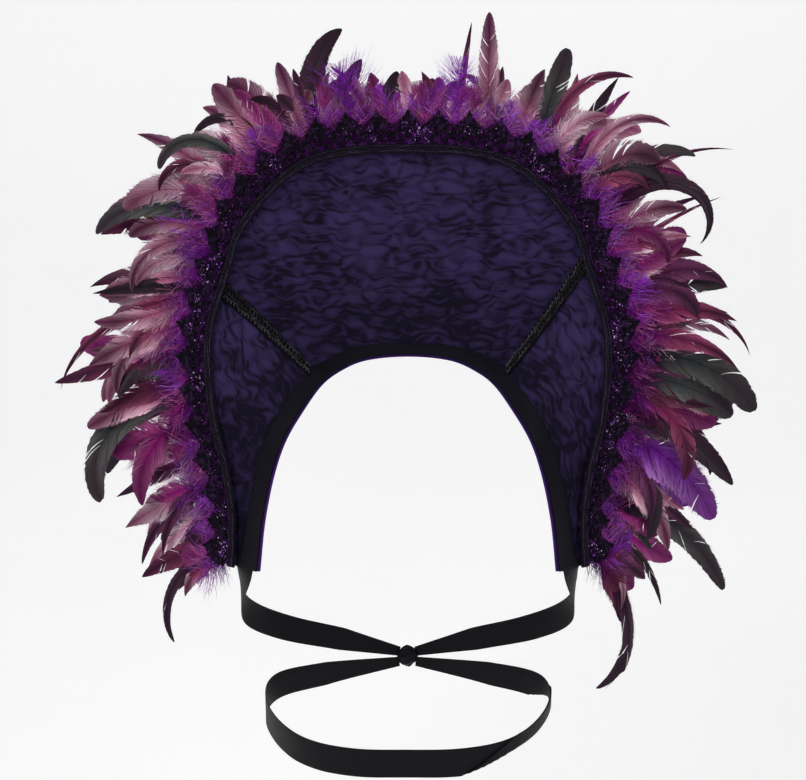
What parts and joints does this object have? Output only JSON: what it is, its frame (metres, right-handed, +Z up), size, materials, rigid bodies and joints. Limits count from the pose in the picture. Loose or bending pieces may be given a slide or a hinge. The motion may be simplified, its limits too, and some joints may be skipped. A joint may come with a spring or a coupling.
{
  "type": "lace feather collar",
  "caption": "Stand-up fan costume collar of lace over satin with braided seams, pointed lace edging, a feather fringe and ribbon ties that pass round the ribs.",
  "frame": {"origin": "centre of the wearer's neck at the level of the collar's neck edge", "axes": "+Z up, the wearer faces -Y, +X to the right as seen from the front"},
  "size_m": [0.6772, 0.263, 0.7001],
  "materials": {
    "satin_lace": "lilac satin under dark wavy lace",
    "dark_satin": "dark navy satin",
    "black_braid": "black beaded braid",
    "black_lace": "black pointed lace with purple glints",
    "feathers": "violet, burgundy and black cock feathers",
    "ribbon_satin": "black satin ribbon"
  },
  "bodies": {
    "root": {"back_panel": "satin_lace", "left_panel": "satin_lace", "right_panel": "satin_lace", "neck_binding": "dark_satin", "left_seam_braid": "black_braid", "right_seam_braid": "black_braid", "rim_braid": "black_braid", "lace_edging": "black_lace", "feather_fringe": "feathers", "left_tie": "ribbon_satin", "right_tie": "ribbon_satin", "waist_ribbon": "ribbon_satin", "back_knot": "ribbon_satin"}
  },
  "joints": []
}
